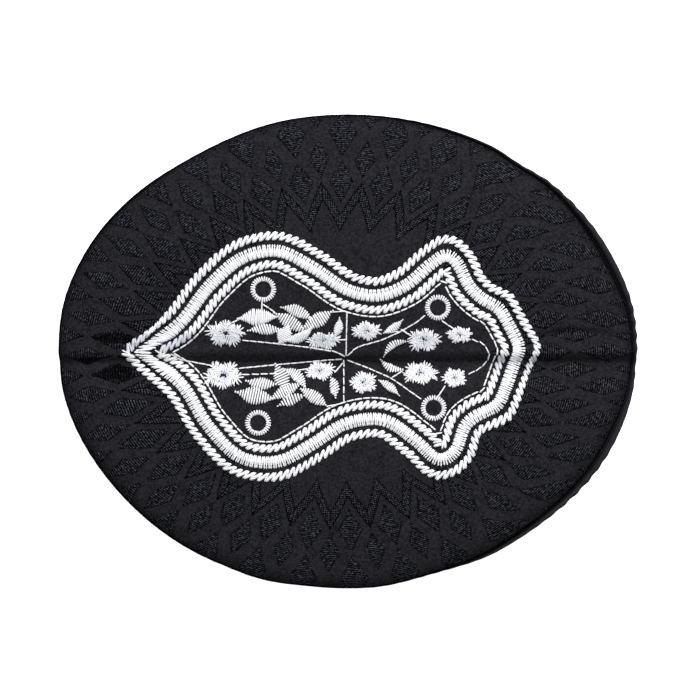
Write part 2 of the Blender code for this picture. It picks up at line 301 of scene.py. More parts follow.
def store(data, name, values):
    """Keep one number for each point of a mesh, for its material."""
    layer = data.attributes.new(name, "FLOAT", "POINT")
    layer.data.foreach_set("value", np.asarray(values, dtype=np.float32).ravel())


# How deep each point lies in the shadow of the seam, and how far the rim darkens softly
SEAM_SHADE_REACH = 0.0015
# Columns centre_deg, half_width_deg, further reach: where more of the rolled edge is in shade
SHADED_EDGES = (
    (75, 20, 0.0005),
    (143, 26, 0.0014),
    (220, 30, 0.001),
)
RIM_SHADE = 0.5
RIM_SHADE_REACH = 0.005
crown_spots = np.array([vertex.co for vertex in crown_mesh.vertices])
spot_angles = np.arctan2(crown_spots[:, 1] / HALF_WIDTH, crown_spots[:, 0] / HALF_LENGTH)
spot_insets = seam_radius(spot_angles) - np.hypot(crown_spots[:, 0], crown_spots[:, 1])
seam_reaches = SEAM_SHADE_REACH + bump_at(SHADED_EDGES, spot_angles)
rim_shades = RIM_SHADE * (1.0 - spot_insets / RIM_SHADE_REACH)
spot_shades = np.maximum(1.0 - spot_insets / seam_reaches, rim_shades)
store(crown_mesh, "seam_shade", np.clip(spot_shades, 0.0, 1.0))
crown = add_piece("crown_panel_cloth", crown_mesh, "figured_cloth", "crown_panel")


class Output:
    """What a node gives out. Sums and products of outputs add the nodes that work them out."""

    def __init__(self, recipe, socket):
        self.recipe, self.socket = recipe, socket

    def __add__(self, other):
        return self.recipe.math("ADD", self, other)

    def __sub__(self, other):
        return self.recipe.math("SUBTRACT", self, other)

    def __rsub__(self, other):
        return self.recipe.math("SUBTRACT", other, self)

    def __mul__(self, other):
        return self.recipe.math("MULTIPLY", self, other)

    def __truediv__(self, other):
        return self.recipe.math("DIVIDE", self, other)

    def __abs__(self):
        return self.recipe.math("ABSOLUTE", self)


class Recipe:
    """Builds the nodes of a material or a modifier one step at a time."""

    def __init__(self, tree):
        self.tree = tree

    def node(self, kind, settings=(), **sockets):
        made = self.tree.nodes.new(kind)
        for key, value in dict(settings).items():
            setattr(made, key, value)
        for key, value in sockets.items():
            self.feed(made.inputs[key.replace("_", " ")], value)
        return made

    def take(self, kind, settings=(), output=0, **sockets):
        """One output of a new node."""
        return Output(self, self.node(kind, settings, **sockets).outputs[output])

    def feed(self, socket, value):
        if isinstance(value, Output):
            self.tree.links.new(value.socket, socket)
        else:
            socket.default_value = value

    def math(self, operation, *values):
        made = self.node("ShaderNodeMath", {"operation": operation})
        for socket, value in zip(made.inputs, values):
            self.feed(socket, value)
        return Output(self, made.outputs[0])

    def greatest(self, first, *others):
        for other in others:
            first = self.math("MAXIMUM", first, other)
        return first

    def ramp(self, value, low, high):
        """0 at low, 1 at high and smooth between them."""
        low, high, at_low, at_high = (low, high, 0.0, 1.0) if low < high else (high, low, 1.0, 0.0)
        return self.take("ShaderNodeMapRange", {"interpolation_type": "SMOOTHSTEP"}, Value=value,
                         From_Min=low, From_Max=high, To_Min=at_low, To_Max=at_high)

    def colour(self, factor, first, second):
        made = self.node("ShaderNodeMix", {"data_type": "RGBA"})
        for index, value in zip((0, 6, 7), (factor, first, second)):
            self.feed(made.inputs[index], value)
        return Output(self, made.outputs[2])

    def noise(self, vector, scale, detail=2.0, roughness=0.5):
        return self.take("ShaderNodeTexNoise", output="Fac", Vector=vector, Scale=scale,
                         Detail=detail, Roughness=roughness)

    def attribute(self, name, output="Fac"):
        return self.take("ShaderNodeAttribute", {"attribute_name": name}, output)

    def place(self):
        return self.take("ShaderNodeTexCoord", output="Object")

    def vector(self, x, y, z=0.0):
        return self.take("ShaderNodeCombineXYZ", X=x, Y=y, Z=z)

    def split(self, vector):
        made = self.node("ShaderNodeSeparateXYZ", Vector=vector)
        return [Output(self, socket) for socket in made.outputs]


def new_material(name):
    material = bpy.data.materials.new(name)
    material.use_nodes = True
    return material, Recipe(material.node_tree), material.node_tree.nodes["Principled BSDF"]


def finish(cook, shader, colour, height, strength, distance, roughness, shine):
    """Feed a material's colour, small relief, roughness and shine."""
    bump = cook.take("ShaderNodeBump", Strength=strength, Distance=distance, Height=height)
    for name, value in (("Base Color", colour), ("Normal", bump), ("Roughness", roughness)):
        cook.feed(shader.inputs[name], value)
    shader.inputs["Specular IOR Level"].default_value = shine


# Figured cloth: smooth ground ribbons between fields of black embroidery thread, whose rows
# run round the crown, with a needle hole at each end of a row.
GROUND_DARK = (0.0084, 0.0082, 0.0102, 1.0)
GROUND_LIGHT = (0.0226, 0.022, 0.026, 1.0)
FIELD_BLACK = (0.0088, 0.0095, 0.0125, 1.0)
FIELD_GLINT = (0.071, 0.074, 0.086, 1.0)
# Black for painted shade: needle holes, field outlines, dark pits, the figures beside the fold and the seam
PAINTED_SHADE_BLACK = (0.0006, 0.0006, 0.0008, 1.0)
# Noise scales for the fields' ragged edges, the thread's grain, the ground's grain and its clouds
EDGE_SCALE, GRAIN_SCALE, GROUND_SCALE, CLOUD_SCALE = 700.0, 1500.0, 1250.0, 260.0
EDGE_WANDER = 0.022
EDGE_RANGE = (-0.004, 0.006)
# The strands' pattern: how far it runs for one repeat of the ring and for the way out from its centre
STRANDS_ROUND, STRANDS_OUT = (15.0, -7.0), (75.0, 165.0)
ROW_PITCH = 0.0078
HOLES_PER_SIDE = 8.0
GLINT_RANGE = (0.505, 0.665)
PIT_RANGE = (0.485, 0.415)
GROUND_ROUGHNESS, FIELD_SMOOTHER = 0.72, 0.14
# Painted shade: where the figures beside the fold are darkened
FOLD_Y = -0.0018
SHADED_BESIDE_FOLD = (0.0095, 0.0075)
UNSHADED_Y, UNSHADED_RANGE = 0.0002, (0.0018, 0.003)
FIGURE_SHADE_FROM_X = (-0.097, -0.094)
FIGURE_SHADE_TO_X = (-0.074, -0.077)

figured, cook, cloth_shader = new_material("figured_cloth")
where = cook.place()
place_x, place_y, _ = cook.split(where)
ring_x = (place_x - RING_CENTRE[0]) / RING_HALF[0]
ring_y = (place_y - RING_CENTRE[1]) / RING_HALF[1]
share = cook.math("SQRT", ring_x * ring_x + ring_y * ring_y)
at_left = cook.ramp(ring_x, -END_START, -END_FULL)
at_right = cook.ramp(ring_x, END_START, END_FULL)
far_out = cook.greatest(share - GATHER_START, 0.0)
turns = cook.math("ARCTAN2", ring_y * (at_right * far_out * RIGHT_GATHER + 1.0), ring_x)
turns = turns * (REPEATS / (2.0 * math.pi)) + at_left * LEFT_TURN
share = share - at_left * cook.ramp(share, PUSH_START, PUSH_FULL) * LEFT_PUSH
half_turn = abs(cook.math("FLOORED_MODULO", turns + (0.5 - FIRST_APEX), 1.0) - 0.5)


def beyond_edge(edge):
    """How far out a point is beyond a straight edge of the repeat."""
    return share - (half_turn * (2.0 * (edge[1] - edge[0])) + edge[0])


def depth_in_diamond(centre, middle, half_width, half_height):
    away = abs(half_turn - centre) / half_width + abs(share - middle) / half_height
    return (1.0 - away) * half_height


zigzag_out, zigzag_in = beyond_edge(ZIGZAG_OUTER), beyond_edge(ZIGZAG_INNER)
zigzag = cook.math("MINIMUM", zigzag_out * -1.0, zigzag_in)
depth = cook.greatest(zigzag, *[depth_in_diamond(*diamond) for diamond in DIAMONDS])
depth = depth + (cook.noise(where, EDGE_SCALE) - 0.5) * EDGE_WANDER
field = cook.ramp(depth, *EDGE_RANGE)
in_zigzag = cook.ramp(zigzag, 0.0, 0.006)

# The fields' threads lie aslant in short rows, with painted glints and painted shade in dark pits
strand_x, strand_y = [share * out + turns * round_ring for round_ring, out in zip(STRANDS_ROUND, STRANDS_OUT)]
strands = cook.noise(cook.vector(strand_x, strand_y), 1.0, roughness=0.6)
row_phase = strands * 0.9 + share / ROW_PITCH
rows = cook.math("SINE", row_phase * (2.0 * math.pi)) * 0.5 + 0.5
grain = cook.noise(where, GRAIN_SCALE, roughness=0.6)
# The zigzag is sewn in stitches across it, with needle holes along both its edges
along = cook.math("SINE", half_turn * (4.0 * math.pi * HOLES_PER_SIDE))
texture = strands * 0.36 + grain * 0.44 + rows * 0.18 - in_zigzag * along * 0.05
glint = cook.ramp(texture, *GLINT_RANGE)
pits = cook.ramp(texture, *PIT_RANGE)
edge_near = cook.math("MINIMUM", abs(zigzag_out), abs(zigzag_in))
holes = cook.ramp(edge_near, 0.012, 0.004) * cook.ramp(along, 0.0, 0.7)
outline = cook.ramp(abs(depth), 0.008, 0.001) * cook.ramp(grain, 0.60, 0.44)
# Painted shade: the figures beside the fold are darkened towards black
figure_fold_shade = (cook.ramp(abs(place_y - FOLD_Y), *SHADED_BESIDE_FOLD)
           * cook.ramp(abs(place_y - UNSHADED_Y), *UNSHADED_RANGE)
           * cook.ramp(place_x, *FIGURE_SHADE_FROM_X) * cook.ramp(place_x, *FIGURE_SHADE_TO_X))
seam_shade = cook.ramp(cook.attribute("seam_shade"), 0.0, 0.95)
# Painted shade: needle holes, field outlines, dark pits, the figures beside the fold and the seam darken
# towards black
painted_shade = cook.greatest(holes, outline * 0.8, field * pits * 0.9,
                     field * figure_fold_shade * (1.22 - grain * 0.8), seam_shade)

fine = cook.noise(where, GROUND_SCALE, roughness=0.6)
cloud = cook.noise(where, CLOUD_SCALE)
ground_tone = cook.ramp(cloud, 0.3, 0.7) * 0.25 + cook.ramp(fine, 0.36, 0.64) * 0.75
cloth_colour = cook.colour(field, cook.colour(ground_tone, GROUND_DARK, GROUND_LIGHT),
                           cook.colour(glint, FIELD_BLACK, FIELD_GLINT))
height = field * (rows * 0.3 + texture * 1.6) + fine * 0.3 - cook.greatest(holes, outline) * 0.8
finish(cook, cloth_shader, cook.colour(painted_shade, cloth_colour, PAINTED_SHADE_BLACK), height, strength=0.8,
       distance=0.0004, roughness=GROUND_ROUGHNESS - field * FIELD_SMOOTHER, shine=0.0)
crown_mesh.materials.append(figured)

# Side band.
# An upright wall of plain stiffened black cloth, joined at one end of the long axis. Its top
# edge is eased in to the crown's seam, which puckers it, and its lower edge is turned up.
BAND_THICKNESS = 0.002
BAND_FLARE = 0.001
TURN_IN = 0.004
SHOULDER_DROP = 0.006
CLEARANCE = 0.00035
HEM_HEIGHT = 0.009
HEM_STEP = 0.0003
PUCKER_COUNT = 104
PUCKER_DEPTH = 0.00055
SWAY_DEPTH = 0.0005
JOIN_DEPTH = 0.0004
WALL_STEPS = 12


def under_crown(inset):
    radius = crown_seam - inset
    return crown_height(direction[:, 0] * radius, direction[:, 1] * radius) - CROWN_THICKNESS - CLEARANCE


def band_sections():
    """Sections of the band from the rim's outer edge up, over the shoulder and down inside."""
    shoulder = shoulder_width(angles)
    outer = crown_seam + shoulder
    inner = outer - BAND_THICKNESS
    seam_height = under_crown(0.0)
    waist = seam_height - 2.0 * SHOULDER_DROP
    fullness = np.minimum(shoulder / 0.003, 1.0)
    pucker = np.sin(PUCKER_COUNT * angles + 1.7 * np.sin(5 * angles))
    pucker = pucker * (0.55 + 0.45 * np.sin(9 * angles + 1.0))
    pucker = PUCKER_DEPTH * pucker * (0.25 + 0.75 * fullness)
    sway = SWAY_DEPTH * np.sin(6 * angles + 0.8) * np.sin(2 * angles)
    sway = sway - JOIN_DEPTH * (np.abs(angles - np.pi) < 0.004)
    zero = np.zeros_like(angles)
    hem = outer + BAND_FLARE
    rows = [
        (hem - 0.0005, zero),
        (hem - 0.0001, zero + 0.0002),
        (hem, zero + 0.0008),
        (hem, zero + HEM_HEIGHT - 0.0006),
        (hem - 0.5 * HEM_STEP, zero + HEM_HEIGHT - 0.0001),
        (hem - HEM_STEP, zero + HEM_HEIGHT + 0.0003),
    ]
    for level in np.linspace(0.06, 1.0, WALL_STEPS):
        step_in = HEM_STEP * max(0.0, 1.0 - 3.0 * level)
        radius = outer + BAND_FLARE * (1.0 - level) - step_in
        radius = radius + sway * math.sin(math.pi * min(level + 0.2, 1.0))
        rows.append((radius, HEM_HEIGHT + (waist - HEM_HEIGHT) * level))
    crest = seam_height + 0.4 * shoulder
    rows += [
        (outer + 0.15 * pucker, seam_height - 0.9 * SHOULDER_DROP),
        (outer + 0.3 * pucker, seam_height - 0.55 * SHOULDER_DROP),
        (crown_seam + 0.98 * shoulder + 0.5 * pucker, seam_height - 0.28 * SHOULDER_DROP + 0.3 * pucker),
        (crown_seam + 0.90 * shoulder + 0.3 * pucker,
         0.4 * seam_height + 0.6 * crest - 0.0004 + 0.6 * pucker),
        (crown_seam + 0.74 * shoulder, crest + pucker),
        (crown_seam + 0.54 * shoulder, crest + 0.9 * pucker),
        (crown_seam + 0.38 * shoulder, crest - 0.12 * shoulder + 0.6 * pucker),
        (crown_seam + 0.26 * shoulder, seam_height - 0.10 * shoulder + 0.2 * pucker),
        (crown_seam + 0.14 * shoulder, seam_height - 0.40 * shoulder - 0.0003),
        (crown_seam - 0.0010, under_crown(0.0010) - 0.1 * shoulder),
        (crown_seam - 0.5 * TURN_IN, under_crown(0.5 * TURN_IN)),
        (crown_seam - TURN_IN, under_crown(TURN_IN)),
        (crown_seam - TURN_IN, under_crown(TURN_IN) - BAND_THICKNESS),
        (inner, waist),
    ]
    for level in np.linspace(0.8, 0.1, 5):
        rows.append((inner + BAND_FLARE * (1.0 - level) + sway * math.sin(math.pi * level), waist * level))
    rows += [(inner + BAND_FLARE, zero + 0.0008), (inner + BAND_FLARE + 0.0005, zero)]
    return np.stack([np.column_stack([direction * radius[:, None], z]) for radius, z in rows], axis=1)


band_points = band_sections()
band_mesh = lathe_mesh("side_band_cloth", band_points)

# The groove along the seam is in shade, and so is the shoulder where it lies close to the crown
GROOVE_REACH = 1.1
CLOSE_SHOULDER = 0.002
foot = np.argmin(np.abs(np.linalg.norm(band_points[0, :, :2], axis=1) - crown_seam[0] - 0.14 * SHOULDER_BASE)
                 + (band_points[0, :, 2] < 0.07))
section_points = band_points.shape[1]
from_foot = np.arange(section_points) - foot
groove = np.exp(-((from_foot - 0.5) / GROOVE_REACH) ** 2)
closeness = np.clip(1.0 - shoulder_width(angles) / CLOSE_SHOULDER, 0.0, 1.0)
near_top = np.abs(from_foot + 2) < 4
store(band_mesh, "seam_shade", np.maximum(groove, closeness[:, None] * near_top))



def run_along(points):
    """How far each point of a line is from its first, along the line."""
    return np.concatenate([[0.0], np.cumsum(np.linalg.norm(np.diff(points, axis=0), axis=1))])


# The cloth's own threads run round the band and up it: a flat pattern map in metres
run_round = run_along(np.vstack([band_points[:, 4], band_points[:1, 4]]))
run_up = run_along(band_points[0])
run_up = np.append(run_up, run_up[-1] + BAND_THICKNESS)
band_map = band_mesh.uv_layers.new(name="cloth")
vertex_of_corner = np.zeros(len(band_mesh.loops), dtype=np.int32)
band_mesh.loops.foreach_get("vertex_index", vertex_of_corner)
corners_of_face = vertex_of_corner.reshape(-1, 4)


def up_to_end(places, count):
    """A face's places along a loop, with 0 read as the loop's end on the face that closes it."""
    closing = places.max(axis=1) == count - 1
    return np.where((places == 0) & closing[:, None], count, places)


map_u = run_round[up_to_end(corners_of_face // section_points, AROUND)]
map_v = run_up[up_to_end(corners_of_face % section_points, section_points)]
band_map.data.foreach_set("uv", np.stack([map_u, map_v], axis=-1).ravel())
band = add_piece("side_band_cloth", band_mesh, "band_cloth", "side_band")

BAND_DARK = (0.007, 0.007, 0.009, 1.0)
BAND_LIGHT = (0.038, 0.038, 0.044, 1.0)
THREADS_PER_METRE = 2400.0
FLUFF_SCALE, SLUB_SCALE, TINT_SCALE = 1100.0, (60.0, 900.0), 45.0
band_cloth, cook, band_shader = new_material("band_cloth")
weave_map = cook.take("ShaderNodeUVMap", {"uv_map": "cloth"})
weave_u, weave_v, _ = cook.split(weave_map)
weave = (cook.math("SINE", weave_u * (THREADS_PER_METRE * math.pi))
         * cook.math("SINE", weave_v * (THREADS_PER_METRE * math.pi)))
fluff = cook.noise(weave_map, FLUFF_SCALE, 3.0, 0.6)
slub = cook.noise(cook.vector(weave_u * SLUB_SCALE[0], weave_v * SLUB_SCALE[1]), 1.0)
cloud = cook.noise(weave_map, TINT_SCALE)
tint = cloud * 0.35 + fluff * 0.5 + cook.ramp(slub, 0.4, 0.7) * 0.12
# Painted shade: the groove and the close shoulder darken towards black
shade = cook.ramp(cook.attribute("seam_shade"), 0.3, 0.9)
finish(cook, band_shader, cook.colour(shade, cook.colour(tint, BAND_DARK, BAND_LIGHT), PAINTED_SHADE_BLACK),
       weave * 0.35 + slub * 0.3 + fluff * 0.5, strength=0.6, distance=0.00025, roughness=0.7, shine=0.0)
band_mesh.materials.append(band_cloth)

# Topstitching.
# Rows of black sewing thread through the band: one along the hem, one below the shoulder and
# one on each side of the join at the end of the long axis.
TOPSTITCH_PITCH = 0.003
TOPSTITCH_LENGTH = 0.0025
TOPSTITCH_WIDTH = 0.00045
HEM_ROW_HEIGHT = 0.0072
SHOULDER_ROW_HEIGHT = 0.072
JOIN_ROW_COLUMNS = (-2, 2)


def new_tree(name, floats, others=()):
    """A Geometry Nodes tree that sews along a line: its recipe and its named inputs."""
    tree = bpy.data.node_groups.new(name, "GeometryNodeTree")
    sockets = [("Line", "Geometry"), *((label, "Float") for label in floats)]
    sockets += [*others, ("Thread", "Material")]
    for label, kind in sockets:
        tree.interface.new_socket(label, in_out="INPUT", socket_type="NodeSocket" + kind)
    tree.interface.new_socket("Stitches", in_out="OUTPUT", socket_type="NodeSocketGeometry")
    make = Recipe(tree)
    given = make.node("NodeGroupInput").outputs
    return make, {label: Output(make, given[label]) for label, _ in sockets}


def close_tree(make, sewn, thread):
    """Give the sewn stitches their thread and end the tree."""
    sewn = make.take("GeometryNodeSetMaterial", Geometry=sewn, Material=thread)
    make.node("NodeGroupOutput", Stitches=sewn)
    return make.tree


def topstitch_tree():
    """Nodes that lay straight stitches end to end along lines in space."""
    make, given = new_tree("topstitches_along_a_line", ("Pitch", "Length", "Width"))
    stitch = make.take("GeometryNodeMeshUVSphere", Segments=6, Rings=5, Radius=0.5)
    dots = make.take("GeometryNodeResampleCurve", {"mode": "LENGTH"}, Curve=given["Line"],
                     Length=given["Pitch"])
    turned = make.take("FunctionNodeAlignRotationToVector", {"axis": "X"},
                       Vector=make.take("GeometryNodeInputTangent"))
    size = make.vector(given["Length"], given["Width"], given["Width"])
    sewn = make.take("GeometryNodeInstanceOnPoints", Points=dots, Instance=stitch, Rotation=turned,
                     Scale=size)
    return close_tree(make, make.take("GeometryNodeRealizeInstances", Geometry=sewn), given["Thread"])


def stitches_along(name, tree, lines, closed, values):
    """Run a stitch tree along lines of x, y, z, share and turn; returns one plain mesh."""
    curve = bpy.data.curves.new(name + "_line", "CURVE")
    curve.dimensions = "3D"
    for points in lines:
        spline = curve.splines.new("POLY")
        spline.points.add(len(points) - 1)
        spline.use_cyclic_u = closed
        for dot, (x, y, z, share, turn) in zip(spline.points, points):
            dot.co = (x, y, z, 1.0)
            dot.radius = share
            dot.tilt = turn
    guide = bpy.data.objects.new(name + "_line", curve)
    bpy.context.collection.objects.link(guide)
    modifier = guide.modifiers.new("stitches", "NODES")
    modifier.node_group = tree
    for socket in tree.interface.items_tree:
        key = socket.name.replace(" ", "_")
        if socket.in_out == "INPUT" and key in values:
            modifier[socket.identifier] = values[key]
    view = bpy.context.evaluated_depsgraph_get()
    data = bpy.data.meshes.new_from_object(guide.evaluated_get(view))
    data.name = name
    bpy.data.objects.remove(guide)
    return data


THREAD_BLACK = (0.004, 0.004, 0.005, 1.0)
THREAD_BLACK_GLINT = (0.04, 0.04, 0.045, 1.0)
SHEEN_SCALE = 2600.0
black_thread, cook, black_thread_shader = new_material("black_thread")
sheen_spots = cook.noise(cook.place(), SHEEN_SCALE, roughness=0.6)
finish(cook, black_thread_shader, cook.colour(sheen_spots, THREAD_BLACK, THREAD_BLACK_GLINT), sheen_spots,
       strength=0.5, distance=0.00015, roughness=0.5, shine=0.12)


def row_round_band(height):
    """A line round the band's outer face at one height."""
    outer_face = band_points[:, 2:6 + WALL_STEPS]
    radii = [np.interp(height, section[:, 2], np.hypot(section[:, 0], section[:, 1]))
             for section in outer_face]
    return np.column_stack([direction * np.array(radii)[:, None], np.full(AROUND, height),
                            np.ones(AROUND), np.zeros(AROUND)])


def row_up_band(column):
    """A line up the band's outer face."""
    section = band_points[column, 6:6 + WALL_STEPS]
    return np.column_stack([section, np.ones(len(section)), np.zeros(len(section))])


topstitches = topstitch_tree()
topstitch_sizes = {"Pitch": TOPSTITCH_PITCH, "Length": TOPSTITCH_LENGTH, "Width": TOPSTITCH_WIDTH,
                   "Thread": black_thread}
for name, rows_sewn, closed in (
    ("band_topstitching", [row_round_band(HEM_ROW_HEIGHT), row_round_band(SHOULDER_ROW_HEIGHT)], True),
    ("join_topstitching", [row_up_band(AROUND // 2 + step) for step in JOIN_ROW_COLUMNS], False),
):
    topstitching = stitches_along(name, topstitches, rows_sewn, closed, topstitch_sizes)
    add_piece(name, topstitching, "band_cloth")

# Outer rope.
# A closed zigzag line of thick slanting stitches in glossy white thread, which lies on the
# crown like a laid rope, outside the satin band.
OUTER_ROPE_OFFSET = 0.0051
ROPE_STITCH = {"Spacing": 0.00123, "Across": 0.0029, "Lean": 0.0026, "Zigzag": 0.0009,
               "Width": 0.00086, "Height": 0.0009, "Alternate_width": 0.3, "Wear": 0.75}

# Where the rope is drawn in towards the satin band: columns x, y, reach, pull in metres
ROPE_PULLS = (
    (-0.074, 0.007, 0.008, -0.0023),
    (-0.074, -0.007, 0.008, -0.0008),
    (0.0608, 0.0011, 0.004, 0.0007),
)
# Where its stitches are shorter, and where they are turned: columns x, y, reach, change
ROPE_SHORTENED = (
    (-0.0690, 0.0075, 0.0055, -0.25),
    (0.0655, -0.0060, 0.0095, -0.32),
)
ROPE_TURNED = ((-0.0690, 0.0075, 0.0055, -0.3),)
# The least cosine of half a corner's turn that an offset line goes by, so no corner runs far out
LONGEST_MITRE = 0.74
# Where the rays start that find the crown below a stitch, and how far they reach down
RAY_START, RAY_REACH = 0.2, 0.3

# Middle line of the satin band in mm, clockwise from its left tip, and which points are corners
SANDAL_LINE = (
    (-73.4, -0.4), (-59.8, 9.2), (-48.1, 23.7), (-36.0, 33.4), (-25.0, 35.4), (-12.4, 29.5),
    (1.5, 20.9), (10.5, 19.55), (19.7, 22.8), (30.5, 31.7), (34.8, 34.2), (38.0, 31.5),
    (42.7, 22.7), (47.7, 18.1), (53.2, 15.4), (58.2, 6.4), (60.8, 1.1), (56.6, -10.0),
    (52.9, -19.0), (41.8, -25.0), (36.6, -36.3), (33.0, -38.3), (24.3, -31.7), (12.4, -24.0),
    (-0.6, -25.3), (-12.7, -32.7), (-24.6, -38.7), (-36.8, -37.6), (-48.7, -26.7), (-58.9, -11.2),
)
SANDAL_CORNERS = (0, 14, 16, 18)


def smooth_loop(rows, corners, steps=10):
    """Points of a closed curve through a table's points, with its corners kept sharp."""
    points = [np.array(row) * 0.001 for row in rows]
    count = len(rows)

    def slope(index, towards):
        if index in corners:
            unit = points[towards] - points[index]
            return unit / np.linalg.norm(unit)
        before = points[index] - points[index - 1]
        after = points[(index + 1) % count] - points[index]
        a, b = np.linalg.norm(before), np.linalg.norm(after)
        return (before / a * b + after / b * a) / (a + b)

    curve = []
    for index in range(count):
        following = (index + 1) % count
        start, end = points[index], points[following]
        span = np.linalg.norm(end - start)
        leave = slope(index, following)
        arrive = slope(following, index) * (-1 if following in corners else 1)
        for step in range(steps):
            u = step / steps
            curve.append((2 * u**3 - 3 * u**2 + 1) * start + (u**3 - 2 * u**2 + u) * span * leave
                         + (3 * u**2 - 2 * u**3) * end + (u**3 - u**2) * span * arrive)
    return np.array(curve)


def at_distances(points, places):
    """Points of a line in plan at given distances along it."""
    run = run_along(points)
    return np.column_stack([np.interp(places, run, points[:, axis]) for axis in (0, 1)])


def even_steps(loop, step=0.0005):
    """The same closed line with points at even distances."""
    closed = np.vstack([loop, loop[:1]])
    length = run_along(closed)[-1]
    return at_distances(closed, np.linspace(0.0, length, round(length / step), endpoint=False))


def near(points, places):
    """What soft bumps round some places add up to at each point of a line."""
    total = np.zeros(len(points))
    for x, y, reach, amount in places:
        total += amount * np.exp(-np.sum((points - (x, y)) ** 2, axis=1) / reach ** 2)
    return total


def offset_loop(loop, distance, pulls=()):
    """A line at one distance outside (+) or inside (-) of a clockwise loop, without its knots."""
    before = loop - np.roll(loop, 1, axis=0)
    after = np.roll(loop, -1, axis=0) - loop
    before /= np.linalg.norm(before, axis=1)[:, None]
    after /= np.linalg.norm(after, axis=1)[:, None]
    along = before + after
    half_turn_cosine = np.maximum(np.linalg.norm(along, axis=1) / 2.0, LONGEST_MITRE)
    along /= np.linalg.norm(along, axis=1)[:, None]
    reach = distance + near(loop, pulls)
    moved = loop + (reach / half_turn_cosine)[:, None] * np.column_stack([-along[:, 1], along[:, 0]])
    nearest = np.linalg.norm(moved[:, None, :] - loop[None, :, :], axis=2).min(axis=1)
    return moved[nearest > 0.985 * np.abs(reach)]


def soften(loop, reach):
    """The same line with each point at the mean of its neighbours, to round its corners."""
    return sum(np.roll(loop, shift, axis=0) for shift in range(-reach, reach + 1)) / (2 * reach + 1)


